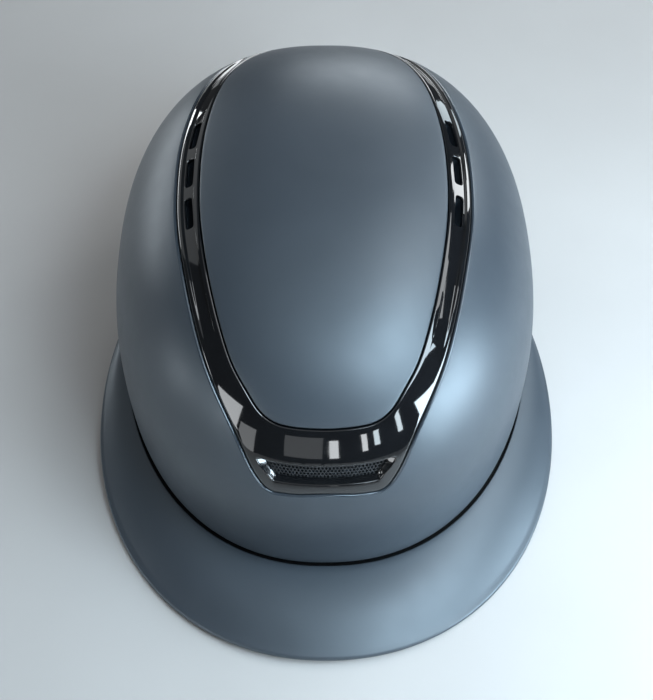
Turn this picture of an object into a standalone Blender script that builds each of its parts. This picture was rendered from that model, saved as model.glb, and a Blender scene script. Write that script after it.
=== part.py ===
"""Riding helmet with a wide peak, and a glossy vent frame round the panel on its crown.

Metres, +Z up. X runs across the head, +Y to the back of the head, and Z = 0 is the surface that the helmet
rests on. Shapes are worked out about the crown's upright axis, and AXIS_Y then sets that axis behind the
origin, which lies under the middle of the helmet's box.
"""

import math

import bmesh
import bpy
from mathutils import Vector

# Outer form of the shell
SHELL_HALF_WIDTH = 0.109
SHELL_FRONT_LENGTH = 0.146  # from the crown's axis to the foremost point of the widest outline
SHELL_BACK_LENGTH = 0.138
WIDEST_HEIGHT = 0.048  # height of the widest outline
CROWN_RISE = 0.108  # from the widest outline up to the crown
TUCK_DEPTH = 0.100  # how far under the widest outline the walls would close
FRONT_SQUARENESS = 2.2  # of the outline seen from above, where 2 is an ellipse
BACK_SQUARENESS = 2.31
PROFILE_SQUARENESS = 2.57  # of the outline seen from the side

# Wall and rim of the shell
WALL_SIDE = 0.026
WALL_END = 0.032
WALL_CROWN = 0.028
JOINT_HEIGHT = 0.017  # height of the rim over the peak at the front
JOINT_RISE = 0.008  # how much higher the rim is at the ears
EAR_Y = 0.016  # where the peak ends and the rim is highest
FALL_Y = 0.032  # where the rim starts to fall to the nape
NAPE_Y = 0.096  # where it has come down to the surface
RIM_ROUND = 0.0015
INNER_RIM_ROUND = 0.004

# Panel and frame, which lie in one sunk seat of the shell
PLATE_THICKNESS = 0.003
SEAT_GAP = 0.0003
FRAME_GAP = 0.0004  # between the frame's edge and the seat's wall
PANEL_GAP = 0.0005  # between the panel's edge and the frame
EDGE_BEVEL = 0.0006
GROOVE_DEPTH = 0.0013

# Air slots in the arms of the frame
SLOT_LENGTH = 0.0185
SLOT_WIDTH = 0.0045
SLOT_PITCH = 0.0255
SLOT_MIDDLE = 0.002  # how far behind the crown's axis the middle slot is
SLOTS_PER_ARM = 3
POCKET_DEPTH = 0.012
POCKET_MARGIN = 0.0006

# Intake opening in the front plate, and its grille
LIP_HEIGHT = 0.0065  # from the plate's lower edge up to the opening
INTAKE_HEIGHT = 0.0115
INTAKE_SAG = 0.0018  # how much lower the upper edge is at its two ends
INTAKE_FOOT_WIDTH = 0.049
INTAKE_TOP_WIDTH = 0.062
GRILLE_MARGIN = 0.0022  # how far the grille reaches behind the plate
GRILLE_THICKNESS = 0.0012
GRILLE_GAP = 0.00045
GRILLE_PITCH = 0.0032
GRILLE_HOLE = 0.0024  # across the flats of a six-sided hole

# Peak
PEAK_HALF_WIDTH = 0.1218
PEAK_REACH = 0.137  # from the peak's own centre to its front edge
PEAK_AHEAD = 0.052  # how far that centre lies before the crown's axis
PEAK_SQUARENESS = 2.06
PEAK_THICKNESS = 0.0035
PEAK_FLANGE = 0.010  # how far it reaches under the rim
PEAK_STEP = 0.0010  # how much lower the peak starts than its flange
PEAK_BULGE = 0.0020
PEAK_FRONT_LIFT = 0.004
PEAK_END_LIFT = 0.019
PEAK_FOOT_TURN = math.radians(48)  # where the edge rests on the surface, from straight ahead
PEAK_END_TURN = math.radians(118)
JOINT_END_TURN = math.radians(98)  # where the end of the peak meets the rim

AXIS_Y = (PEAK_AHEAD + PEAK_REACH - SHELL_BACK_LENGTH) / 2

# Outlines of the frame on one side, from the middle of the front to the middle of the back. Across is a
# share of SHELL_HALF_WIDTH, along a share of SHELL_FRONT_LENGTH or SHELL_BACK_LENGTH, and steps the number
# of spans up to the next row.
FRAME_OUTLINE = [
    # outer across, outer along, inner across, inner along, steps
    (0.000, -0.973, 0.000, -0.868, 2),
    (0.156, -0.967, 0.151, -0.858, 2),
    (0.271, -0.940, 0.243, -0.831, 2),
    (0.362, -0.853, 0.312, -0.774, 3),
    (0.491, -0.664, 0.402, -0.650, 3),
    (0.585, -0.397, 0.489, -0.404, 3),
    (0.640, -0.116, 0.541, -0.116, 3),
    (0.630, 0.217, 0.532, 0.217, 3),
    (0.528, 0.558, 0.450, 0.529, 3),
    (0.326, 0.812, 0.284, 0.739, 3),
    (0.000, 0.920, 0.000, 0.841, 0),
]

# The frame's cross-section, from its outer to its inner edge. Across is a share of the band, and depth a
# share of GROOVE_DEPTH.
FRAME_SECTION = [
    # across, depth
    (0.20, 0.0),
    (0.26, 1.0),
    (0.50, 1.0),
    (0.74, 1.0),
    (0.80, 0.0),
]
GROOVE_POINT = -0.65  # share of SHELL_FRONT_LENGTH where the groove has run out
GROOVE_FULL = -0.42
GROOVE_FADE = 0.62  # share of SHELL_BACK_LENGTH where it starts to run out
GROOVE_TAIL = 0.80

PANEL_TOP_SHARES = (0.90, 0.75, 0.56, 0.35, 0.16)
PANEL_SEAT_SHARES = (0.78, 0.52, 0.26)
OUTER_RINGS = 8
INNER_RINGS = 5
PEAK_SPANS = 36

SATIN = ((0.075, 0.098, 0.130, 1.0), 0.45, 0.0)
GLOSS = ((0.006, 0.007, 0.009, 1.0), 0.06, 0.0)
MESH = ((0.030, 0.032, 0.036, 1.0), 0.40, 0.0)


def mix(low, high, share):
    return low + (high - low) * share


def eased(value, start, end):
    """0 before the start, 1 after the end, and a smooth turn between."""
    share = min(max((value - start) / (end - start), 0), 1)
    return share * share * (3 - 2 * share)


def reach_towards(y):
    """The half-length and squareness of the outline on that side of the crown's axis."""
    if y < 0:
        return SHELL_FRONT_LENGTH, FRONT_SQUARENESS
    return SHELL_BACK_LENGTH, BACK_SQUARENESS


def spread(x, y):
    """How far out a point is: 0 on the crown's axis and 1 on the widest outline."""
    reach, squareness = reach_towards(y)
    across = abs(x) / SHELL_HALF_WIDTH
    along = abs(y) / reach
    return (across**squareness + along**squareness) ** (1 / squareness)


def height(x, y):
    rise = (1 - min(spread(x, y), 1) ** PROFILE_SQUARENESS) ** (1 / PROFILE_SQUARENESS)
    return WIDEST_HEIGHT + CROWN_RISE * rise


def outward(x, y):
    """The direction square to the shell's surface over a point of the plan."""
    step = 1e-5
    slope_x = (height(x + step, y) - height(x - step, y)) / (2 * step)
    slope_y = (height(x, y + step) - height(x, y - step)) / (2 * step)
    return Vector((-slope_x, -slope_y, 1)).normalized()


def under_surface(x, y, depth):
    return Vector((x, y, height(x, y))) - outward(x, y) * depth


def laid(ring, depth):
    """A ring of plan points laid under the shell's surface, at one depth or at a depth each."""
    depths = depth if isinstance(depth, list) else [depth] * len(ring)
    return [under_surface(x, y, down) for (x, y), down in zip(ring, depths)]


def slid(ring, distance):
    """The ring moved over the surface, away from the crown where the distance is positive."""
    points = laid(ring, 0)
    moved = []
    for i, (x, y) in enumerate(ring):
        tangent = points[(i + 1) % len(ring)] - points[i - 1]
        side = tangent.cross(outward(x, y)).normalized() * distance
        moved.append((x + side.x, y + side.y))
    return moved


def between(outer, inner, share):
    return [(mix(a, c, share), mix(b, d, share)) for (a, b), (c, d) in zip(outer, inner)]


def shrunk(ring, share):
    return [(x * share, y * share) for x, y in ring]


def curve_through(values, place, share):
    """A smooth curve through values, read a share of the way from one of them to the next."""
    before, start, end, after = (values[i] for i in range(place - 1, place + 3))
    return (
        2 * start
        + (end - before) * share
        + (2 * before - 5 * start + 4 * end - after) * share**2
        + (3 * start - before - 3 * end + after) * share**3
    ) / 2


def outline(across_column, along_column):
    """The closed ring of plan points that a pair of columns of FRAME_OUTLINE describes."""
    across = [row[across_column] for row in FRAME_OUTLINE]
    along = [row[along_column] for row in FRAME_OUTLINE]
    across = [-across[1], *across, -across[-2]]
    along = [along[1], *along, along[-2]]
    half = []
    for place, row in enumerate(FRAME_OUTLINE, start=1):
        for step in range(row[4] or 1):
            share = step / (row[4] or 1)
            x = curve_through(across, place, share) if row[4] else 0.0
            y = curve_through(along, place, share) if row[4] else row[along_column]
            half.append((x * SHELL_HALF_WIDTH, y * reach_towards(y)[0]))
    half[0] = (0.0, half[0][1])
    return half + [(-x, y) for x, y in reversed(half[1:-1])]


FRAME_OUTER = outline(0, 1)
FRAME_INNER = outline(2, 3)
PANEL_EDGE = slid(FRAME_INNER, -PANEL_GAP)
SEAT_DEPTH = PLATE_THICKNESS + SEAT_GAP
INTAKE_FOOT = height(*FRAME_OUTER[0]) + LIP_HEIGHT


def skin(name, rings, joined=False):
    """A closed mesh over rings of points, where one point is a pole and joined makes a loop of rings."""
    mesh = bmesh.new()
    rows = [[mesh.verts.new(point) for point in ring] for ring in rings]
    pairs = list(zip(rows, rows[1:]))
    if joined:
        pairs.append((rows[-1], rows[0]))
    for near, far in pairs:
        for i in range(max(len(near), len(far))):
            a = near[i % len(near)]
            b = near[(i + 1) % len(near)]
            c = far[(i + 1) % len(far)]
            d = far[i % len(far)]
            # The shorter diagonal, so that skins one over the other fold alike.
            if (a.co - c.co).length < (b.co - d.co).length:
                halves = ((a, b, c), (a, c, d))
            else:
                halves = ((a, b, d), (b, c, d))
            for corners in halves:
                if len(set(corners)) == 3:
                    mesh.faces.new(corners)
    if not joined:
        for row in (rows[0], rows[-1]):
            if len(row) > 1:
                mesh.faces.new(row)
    bmesh.ops.recalc_face_normals(mesh, faces=mesh.faces)
    data = bpy.data.meshes.new(name)
    mesh.to_mesh(data)
    mesh.free()
    return data


def place(name, data, finish=None):
    """Puts a mesh in the scene, its axis at AXIS_Y, as a finished piece or, with no finish, a cutter."""
    piece = bpy.data.objects.new(name, data)
    bpy.context.scene.collection.objects.link(piece)
    piece.location.y = AXIS_Y
    if finish is None:
        piece.hide_render = True
        piece.display_type = "WIRE"
        return piece
    colour, roughness, metallic = finish
    material = bpy.data.materials.new(name)
    material.use_nodes = True
    shader = material.node_tree.nodes["Principled BSDF"]
    shader.inputs["Base Color"].default_value = colour
    shader.inputs["Roughness"].default_value = roughness
    shader.inputs["Metallic"].default_value = metallic
    data.materials.clear()
    data.materials.append(material)
    data.shade_smooth()
    data.set_sharp_from_angle(angle=math.radians(32))
    return piece


def cut(piece, cutter):
    boolean = piece.modifiers.new(cutter.name, "BOOLEAN")
    boolean.operation = "DIFFERENCE"
    boolean.solver = "EXACT"
    boolean.object = cutter


def widest_reach(turn):
    """How far the widest outline is from the crown's axis in the direction of a turn."""
    x = math.cos(turn)
    y = math.sin(turn)
    return 1 / spread(x, y)


def rim_height(turn):
    """Height of the shell's rim: a slow rise over the peak to the ears, then a fall to the nape."""
    y = widest_reach(turn) * math.sin(turn)
    over_peak = JOINT_HEIGHT + JOINT_RISE * min((y + SHELL_FRONT_LENGTH) / (EAR_Y + SHELL_FRONT_LENGTH), 1)
    return over_peak * (1 - eased(y, FALL_Y, NAPE_Y))


def level_of(rise, full_rise):
    """The level angle of a height over or under the widest outline."""
    share = rise / full_rise
    return math.copysign(math.asin(abs(share) ** (PROFILE_SQUARENESS / 2)), share)


def outer_point(turn, level):
    """A point of the outer surface: level is 0 on the widest outline and a quarter turn at the crown."""
    out = widest_reach(turn) * max(math.cos(level), 0) ** (2 / PROFILE_SQUARENESS)
    rise = math.copysign(abs(math.sin(level)) ** (2 / PROFILE_SQUARENESS), level)
    z = WIDEST_HEIGHT + rise * (CROWN_RISE if level > 0 else TUCK_DEPTH)
    return Vector((out * math.cos(turn), out * math.sin(turn), z))


def inner_point(turn, level):
    """A point of the hollow for the head, a quarter turn at its crown, and straight down from level 0."""
    outer = outer_point(turn, 0)
    reach = reach_towards(outer.y)[0]
    flat = max(math.cos(level), 0) ** (2 / PROFILE_SQUARENESS)
    rise = max(math.sin(level), 0) ** (2 / PROFILE_SQUARENESS)
    x = outer.x * (1 - WALL_SIDE / SHELL_HALF_WIDTH) * flat
    y = outer.y * (1 - WALL_END / reach) * flat
    return Vector((x, y, WIDEST_HEIGHT + rise * (CROWN_RISE - WALL_CROWN)))


def rim_point(turn, inset, lift):
    """A point of the shell's outer foot, moved in from its surface and up from its rim."""
    z = rim_height(turn) + lift
    point = outer_point(turn, level_of(z - WIDEST_HEIGHT, TUCK_DEPTH))
    towards_axis = Vector((-point.x, -point.y, 0)).normalized()
    return point + towards_axis * inset


def seat_rings():
    """The floor under the panel and the frame, from the crown outwards, then the seat's wall and edge."""
    rings = [[under_surface(0, 0, SEAT_DEPTH)]]
    for share in reversed(PANEL_SEAT_SHARES):
        rings.append(laid(shrunk(PANEL_EDGE, share), SEAT_DEPTH))
    for share in (1.0, 0.74, 0.50, 0.26):
        rings.append(laid(between(FRAME_OUTER, FRAME_INNER, share), SEAT_DEPTH))
    wall = slid(FRAME_OUTER, FRAME_GAP)
    rings.append(laid(wall, SEAT_DEPTH))
    rings.append(laid(wall, EDGE_BEVEL))
    rings.append(laid(slid(FRAME_OUTER, FRAME_GAP + EDGE_BEVEL), 0))
    return rings


def outer_rings(edge, turns):
    """The outer surface from the seat's edge down to the rounded rim."""
    top = [level_of(point.z - WIDEST_HEIGHT, CROWN_RISE) for point in edge]
    foot = [level_of(rim_height(turn) + RIM_ROUND - WIDEST_HEIGHT, TUCK_DEPTH) for turn in turns]
    rings = []
    for step in range(1, OUTER_RINGS + 1):
        share = step / OUTER_RINGS
        rings.append([outer_point(turn, mix(high, low, share)) for turn, high, low in zip(turns, top, foot)])
    corner = 1 - math.sqrt(0.5)
    rings.append([rim_point(turn, RIM_ROUND * corner, RIM_ROUND * corner) for turn in turns])
    rings.append([rim_point(turn, RIM_ROUND, 0) for turn in turns])
    return rings


def inner_rings(turns):
    """The rounded inner rim, the upright inner wall and the hollow's dome."""
    rings = []
    for out, lift in ((1.0, 0.0), (0.3, 0.3), (0.0, 1.0)):
        ring = []
        for turn in turns:
            point = inner_point(turn, 0)
            away = Vector((point.x, point.y, 0)).normalized() * INNER_RIM_ROUND * out
            ring.append(Vector((point.x, point.y, rim_height(turn) + INNER_RIM_ROUND * lift)) + away)
        rings.append(ring)
    for step in range(INNER_RINGS):
        level = math.pi / 2 * step / INNER_RINGS
        rings.append([inner_point(turn, level) for turn in turns])
    rings.append([inner_point(0, math.pi / 2)])
    return rings


def outer_shell():
    seat = seat_rings()
    turns = [math.atan2(point.y, point.x) for point in seat[-1]]
    rings = seat + outer_rings(seat[-1], turns) + inner_rings(turns)
    return place("outer_shell", skin("outer_shell", rings), SATIN)


def crown_panel():
    rings = [[under_surface(0, 0, 0)]]
    rings += [laid(shrunk(PANEL_EDGE, share), 0) for share in reversed(PANEL_TOP_SHARES)]
    rings.append(laid(slid(PANEL_EDGE, -EDGE_BEVEL), 0))
    rings.append(laid(PANEL_EDGE, EDGE_BEVEL))
    rings.append(laid(PANEL_EDGE, PLATE_THICKNESS))
    rings += [laid(shrunk(PANEL_EDGE, share), PLATE_THICKNESS) for share in PANEL_SEAT_SHARES]
    rings.append([under_surface(0, 0, PLATE_THICKNESS)])
    return place("crown_panel", skin("crown_panel", rings), SATIN)


def groove_depth(y):
    """The groove's full depth along the arms, running out before the front plate and behind the crown."""
    along = y / reach_towards(y)[0]
    if along < 0:
        return GROOVE_DEPTH * eased(along, GROOVE_POINT, GROOVE_FULL)
    return GROOVE_DEPTH * (1 - eased(along, GROOVE_FADE, GROOVE_TAIL))


def vent_frame():
    rings = [laid(FRAME_OUTER, PLATE_THICKNESS), laid(FRAME_OUTER, EDGE_BEVEL)]
    rings.append(laid(slid(FRAME_OUTER, -EDGE_BEVEL), 0))
    for across, depth in FRAME_SECTION:
        ring = between(FRAME_OUTER, FRAME_INNER, across)
        rings.append(laid(ring, [depth * groove_depth(y) for x, y in ring]))
    rings.append(laid(slid(FRAME_INNER, EDGE_BEVEL), 0))
    rings.append(laid(FRAME_INNER, EDGE_BEVEL))
    rings.append(laid(FRAME_INNER, PLATE_THICKNESS))
    for share in (0.74, 0.50, 0.26):
        rings.append(laid(between(FRAME_OUTER, FRAME_INNER, share), PLATE_THICKNESS))
    return place("vent_frame", skin("vent_frame", rings, joined=True), GLOSS)


def arm_x(y):
    """How far out the middle of the frame's arm is at a place along the crown."""
    middle = between(FRAME_OUTER, FRAME_INNER, 0.5)
    half = middle[: len(middle) // 2 + 1]
    for (x0, y0), (x1, y1) in zip(half, half[1:]):
        if y0 <= y <= y1:
            return mix(x0, x1, (y - y0) / (y1 - y0))
    return half[-1][0]


def slot_prism(side, y, margin, near, far):
    """Two rings round a slot with half-round ends, at two depths under the surface."""
    lengthwise = Vector((side * (arm_x(y + SLOT_LENGTH / 2) - arm_x(y - SLOT_LENGTH / 2)), SLOT_LENGTH, 0))
    x = side * arm_x(y)
    up = outward(x, y)
    centre = Vector((x, y, height(x, y)))
    lengthwise = (lengthwise - up * lengthwise.dot(up)).normalized()
    sideways = up.cross(lengthwise)
    radius = SLOT_WIDTH / 2 + margin
    straight = (SLOT_LENGTH - SLOT_WIDTH) / 2
    steps = 4
    ring = []
    for end in (1, -1):
        for step in range(steps + 1):
            turn = math.pi * (step / steps - 0.5)
            along = end * (straight + radius * math.cos(turn))
            ring.append(centre + lengthwise * along + sideways * end * radius * math.sin(turn))
    return [[point - up * near for point in ring], [point - up * far for point in ring]]


def slot_cutter(name, margin, near, far):
    """All the slots of both arms as one cutter."""
    joined = bmesh.new()
    for side in (-1, 1):
        for number in range(SLOTS_PER_ARM):
            y = SLOT_MIDDLE + (number - (SLOTS_PER_ARM - 1) / 2) * SLOT_PITCH
            slot = skin(name, slot_prism(side, y, margin, near, far))
            joined.from_mesh(slot)
            bpy.data.meshes.remove(slot)
    data = bpy.data.meshes.new(name)
    joined.to_mesh(data)
    joined.free()
    return place(name, data)


def front_point(x, z, depth):
    """A point under the shell's front surface at a height, on the plan line of x."""
    level = level_of(z - WIDEST_HEIGHT, CROWN_RISE)
    out = math.cos(level) ** (2 / PROFILE_SQUARENESS)
    across = abs(x) / SHELL_HALF_WIDTH
    along = (out**FRONT_SQUARENESS - across**FRONT_SQUARENESS) ** (1 / FRONT_SQUARENESS)
    y = -along * SHELL_FRONT_LENGTH
    return under_surface(x, y, depth)


def intake_place(across, up, margin):
    """Plan line and height of a place in the intake opening, across -1 to 1 and up 0 to 1, with a margin."""
    half = mix(INTAKE_FOOT_WIDTH, INTAKE_TOP_WIDTH, up) / 2 + margin
    sag = INTAKE_SAG * up * across**2
    return half * across, INTAKE_FOOT + INTAKE_HEIGHT * up - sag + margin * (2 * up - 1)


def intake_block(name, margin, near, far, bend=True):
    """A block of the opening's outline between two depths, bent to the shell or flat."""
    columns = 12
    rings = []
    for column in range(columns + 1):
        across = 2 * column / columns - 1
        ring = []
        for up, depth in ((0, near), (0.5, near), (1, near), (1, far), (0.5, far), (0, far)):
            x, z = intake_place(across, up, margin)
            ring.append(front_point(x, z, depth) if bend else Vector((x, depth, z)))
        rings.append(ring)
    return skin(name, rings)


def grille_holes():
    """Six-sided prisms in offset rows, each wholly inside the opening."""
    joined = bmesh.new()
    radius = GRILLE_HOLE / math.sqrt(3)
    row_pitch = GRILLE_PITCH * math.sqrt(3) / 2
    rows = int((INTAKE_HEIGHT - GRILLE_HOLE) / row_pitch) + 1
    low = INTAKE_FOOT + (INTAKE_HEIGHT - (rows - 1) * row_pitch) / 2
    for row in range(rows):
        z = low + row * row_pitch
        half = mix(INTAKE_FOOT_WIDTH, INTAKE_TOP_WIDTH, (z - INTAKE_FOOT) / INTAKE_HEIGHT) / 2 - GRILLE_HOLE
        count = int(2 * half / GRILLE_PITCH) // 2 * 2 + row % 2
        for number in range(count):
            x = (number - (count - 1) / 2) * GRILLE_PITCH
            sag = INTAKE_SAG * (x / half) ** 2 * row / rows
            prism = []
            for depth in (0, 4 * GRILLE_THICKNESS):
                turns = [math.pi / 3 * corner + math.pi / 6 for corner in range(6)]
                ring = [
                    Vector((x + radius * math.cos(turn), depth, z - sag + radius * math.sin(turn)))
                    for turn in turns
                ]
                prism.append(ring)
            hole = skin("grille_hole", prism)
            joined.from_mesh(hole)
            bpy.data.meshes.remove(hole)
    data = bpy.data.meshes.new("grille_holes")
    joined.to_mesh(data)
    joined.free()
    return place("grille_holes", data)


def front_grille():
    """A flat pierced plate, bent under the front plate once its holes are cut."""
    near = GRILLE_THICKNESS
    flat = place("flat_grille", intake_block("flat_grille", GRILLE_MARGIN, near, 2 * near, bend=False))
    cut(flat, grille_holes())
    graph = bpy.context.evaluated_depsgraph_get()
    data = bpy.data.meshes.new_from_object(flat.evaluated_get(graph))
    sunk = PLATE_THICKNESS + GRILLE_GAP - near
    for vertex in data.vertices:
        x, depth, z = vertex.co
        vertex.co = front_point(x, z, depth + sunk)
    flipped = bmesh.new()
    flipped.from_mesh(data)
    bmesh.ops.recalc_face_normals(flipped, faces=flipped.faces)
    flipped.to_mesh(data)
    flipped.free()
    return place("front_grille", data, MESH)


def edge_lift(turn):
    """Height of the peak's lower edge over the surface, turn being measured from straight ahead."""
    turn = abs(turn)
    if turn < PEAK_FOOT_TURN:
        return PEAK_FRONT_LIFT * (0.5 + 0.5 * math.cos(math.pi * turn / PEAK_FOOT_TURN))
    return PEAK_END_LIFT * ((turn - PEAK_FOOT_TURN) / (PEAK_END_TURN - PEAK_FOOT_TURN)) ** 1.5


def peak_section(share):
    """One closed cross-section of the peak, share -1 at its left end, 0 in front and 1 at its right end."""
    turn = share * PEAK_END_TURN
    joint = rim_point(share * JOINT_END_TURN - math.pi / 2, 0, 0)
    towards_axis = Vector((-joint.x, -joint.y, 0)).normalized()
    seat = joint.z - SEAT_GAP
    x = math.sin(turn)
    y = -math.cos(turn)
    size = ((abs(x) / PEAK_HALF_WIDTH) ** PEAK_SQUARENESS + (abs(y) / PEAK_REACH) ** PEAK_SQUARENESS) ** (
        1 / PEAK_SQUARENESS
    )
    lip = Vector((x / size, y / size - PEAK_AHEAD, 0))
    away = Vector((lip.x - joint.x, lip.y - joint.y, 0))
    half = PEAK_THICKNESS / 2
    away_length = away.length
    away = away.normalized()
    edge = Vector((lip.x, lip.y, 0)) - away * half
    edge_top = edge_lift(turn) + PEAK_THICKNESS
    start = joint.z - SEAT_GAP - PEAK_STEP

    def brim(out, down):
        """A point between the joint and the edge, under the brim's upper surface."""
        bulge = PEAK_BULGE * math.sin(math.pi * out) * min(away_length / PEAK_FLANGE, 1)
        z = mix(start, edge_top, out) + bulge - down
        return Vector((mix(joint.x, edge.x, out), mix(joint.y, edge.y, out), z))

    def flange(inset, down):
        """A point under the rim, inset from the shell's outer face."""
        return Vector((joint.x, joint.y, seat - down)) + towards_axis * inset

    section = [flange(PEAK_FLANGE, 0), flange(2 * RIM_ROUND, 0), flange(RIM_ROUND, PEAK_STEP)]
    section += [brim(out, 0) for out in (0.0, 0.22, 0.45, 0.7, 1.0)]
    middle = Vector((edge.x, edge.y, edge_top - half))
    for tilt in (math.pi / 4, 0, -math.pi / 4):
        section.append(middle + away * half * math.cos(tilt) + Vector((0, 0, half * math.sin(tilt))))
    section += [brim(out, PEAK_THICKNESS) for out in (1.0, 0.7, 0.4, 0.1)]
    section.append(flange(PEAK_FLANGE, PEAK_STEP + PEAK_THICKNESS))
    return section


def peak():
    sections = [peak_section(2 * span / PEAK_SPANS - 1) for span in range(PEAK_SPANS + 1)]
    return place("peak", skin("peak", sections), SATIN)


def clear_scene():
    for thing in list(bpy.data.objects):
        bpy.data.objects.remove(thing)


def build():
    clear_scene()
    shell = outer_shell()
    crown_panel()
    frame = vent_frame()
    front_grille()
    peak()
    above = 2 * PLATE_THICKNESS
    below = SEAT_DEPTH + 2 * PLATE_THICKNESS
    cut(frame, slot_cutter("slot_cutter", 0, -above, below))
    cut(shell, slot_cutter("slot_pocket_cutter", POCKET_MARGIN, 0, SEAT_DEPTH + POCKET_DEPTH))
    cut(frame, place("intake_cutter", intake_block("intake_cutter", 0, -above, below)))
    ledge = PLATE_THICKNESS + 2 * GRILLE_GAP + GRILLE_THICKNESS
    wide = intake_block("grille_seat_cutter", GRILLE_MARGIN + SEAT_GAP, 0, ledge)
    cut(shell, place("grille_seat_cutter", wide))
    deep = intake_block("intake_pocket_cutter", 0, 0, SEAT_DEPTH + POCKET_DEPTH)
    cut(shell, place("intake_pocket_cutter", deep))


build()
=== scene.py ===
"""A riding helmet with a wide peak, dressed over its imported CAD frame. Metres, with its front at -Y."""

import math

import bmesh
import bpy
from mathutils import Matrix, Vector


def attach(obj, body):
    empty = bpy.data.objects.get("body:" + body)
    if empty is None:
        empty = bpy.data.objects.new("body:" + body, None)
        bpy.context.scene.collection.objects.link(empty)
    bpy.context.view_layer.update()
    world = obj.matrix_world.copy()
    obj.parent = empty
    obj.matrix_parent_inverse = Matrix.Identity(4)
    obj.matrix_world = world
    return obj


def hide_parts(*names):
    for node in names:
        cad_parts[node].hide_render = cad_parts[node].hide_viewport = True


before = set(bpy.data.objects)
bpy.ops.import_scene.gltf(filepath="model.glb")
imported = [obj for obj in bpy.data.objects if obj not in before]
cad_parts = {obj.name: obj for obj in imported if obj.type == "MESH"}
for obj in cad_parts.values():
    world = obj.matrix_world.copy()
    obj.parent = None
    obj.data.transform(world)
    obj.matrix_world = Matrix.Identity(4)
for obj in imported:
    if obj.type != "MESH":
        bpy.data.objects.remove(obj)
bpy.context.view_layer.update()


# Outer shell. A moulded shell with satin dark blue-grey paint, over black bead foam that is bonded into it.
# It is one hollow wall from the crown to the rim. A shallow seat in its top takes the frame and the panel,
# and air pockets are sunk in the foam behind the slots and the intake.

SHELL_HALF_WIDTH = 0.109
SHELL_FRONT_LENGTH = 0.146  # from the crown's axis to the foremost point of the widest outline
SHELL_BACK_LENGTH = 0.138
WIDEST_HEIGHT = 0.048
CROWN_RISE = 0.108
TUCK_DEPTH = 0.100  # how far under the widest outline the walls would close
FRONT_SQUARENESS = 2.2
BACK_SQUARENESS = 2.31
PROFILE_SQUARENESS = 2.57
CROWN_AXIS_Y = 0.0255  # the shapes are worked out about this upright axis, and put_on moves them to it
WALL_SIDE = 0.026
WALL_END = 0.032
WALL_CROWN = 0.028
JOINT_HEIGHT = 0.017  # of the rim over the peak, in front
JOINT_RISE = 0.008
EAR_Y = 0.016
FALL_Y = 0.032
NAPE_Y = 0.096
RIM_ROUND = 0.0015
INNER_RIM_ROUND = 0.004
PAINTED_LIP = 0.0026  # how far the painted shell reaches in under the rim
PARTING = 0.0009  # groove between the shell and the foam, seen from below
PARTING_SLANT = 0.0002  # how far its outer wall leans
SEAT_DEPTH = 0.0033
SEAT_EDGE_ROUND = 0.0010
FRAME_GAP = 0.0006
OUTER_STEPS = 44  # rings from the seat's edge down to the rim
RIM_STEPS = 5
INNER_RIM_STEPS = 6
HOLLOW_STEPS = 26

# One side of the vent frame, from the middle of the front to the middle of the back. The places are shares of
# the shell's half-width and of its front or back length.
FRAME_OUTLINE = [
    # outer across, outer along, inner across, inner along, spans to the next row
    (0.000, -0.973, 0.000, -0.868, 8),
    (0.156, -0.967, 0.151, -0.858, 8),
    (0.271, -0.940, 0.243, -0.831, 8),
    (0.362, -0.853, 0.312, -0.774, 12),
    (0.491, -0.664, 0.402, -0.650, 16),
    (0.585, -0.397, 0.489, -0.404, 16),
    (0.640, -0.116, 0.541, -0.116, 16),
    (0.630, 0.217, 0.532, 0.217, 16),
    (0.528, 0.558, 0.450, 0.529, 12),
    (0.326, 0.812, 0.284, 0.739, 12),
    (0.000, 0.920, 0.000, 0.841, 0),
]


def mix(low, high, share):
    return low + (high - low) * share


def eased(value, start, end):
    """0 before the start, 1 after the end, and a smooth turn between."""
    share = min(max((value - start) / (end - start), 0), 1)
    return share * share * (3 - 2 * share)


def shell_reach(y):
    """Length and squareness of the helmet's outline on that side of the crown's axis."""
    if y < 0:
        return SHELL_FRONT_LENGTH, FRONT_SQUARENESS
    return SHELL_BACK_LENGTH, BACK_SQUARENESS


def spread(x, y):
    """0 on the crown's axis and 1 on the helmet's widest outline."""
    reach, squareness = shell_reach(y)
    across = abs(x) / SHELL_HALF_WIDTH
    along = abs(y) / reach
    return (across**squareness + along**squareness) ** (1 / squareness)


def shell_height(x, y):
    """Height of the helmet's outer surface over a place in the plan."""
    rise = (1 - min(spread(x, y), 1) ** PROFILE_SQUARENESS) ** (1 / PROFILE_SQUARENESS)
    return WIDEST_HEIGHT + CROWN_RISE * rise


def shell_outward(x, y):
    """The direction straight out of the outer surface there."""
    step = 1e-5
    slope_x = (shell_height(x + step, y) - shell_height(x - step, y)) / (2 * step)
    slope_y = (shell_height(x, y + step) - shell_height(x, y - step)) / (2 * step)
    return Vector((-slope_x, -slope_y, 1)).normalized()


def under_paint(x, y, depth):
    """A point so deep under the helmet's outer surface."""
    return Vector((x, y, shell_height(x, y))) - shell_outward(x, y) * depth


def laid(ring, depth):
    """A ring of plan points laid on the helmet, at one depth or at a depth each."""
    depths = depth if isinstance(depth, list) else [depth] * len(ring)
    return [under_paint(x, y, down) for (x, y), down in zip(ring, depths)]


def slid(ring, distance):
    """The ring moved over the helmet's surface, outwards where the distance is positive."""
    points = laid(ring, 0)
    moved = []
    for i, (x, y) in enumerate(ring):
        tangent = points[(i + 1) % len(ring)] - points[i - 1]
        side = tangent.cross(shell_outward(x, y)).normalized() * distance
        moved.append((x + side.x, y + side.y))
    return moved


def between(outer, inner, share):
    """The ring that lies at a share of the way from the outer ring to the inner one."""
    return [(mix(a, c, share), mix(b, d, share)) for (a, b), (c, d) in zip(outer, inner)]


def shrunk(ring, share):
    return [(x * share, y * share) for x, y in ring]


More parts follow.
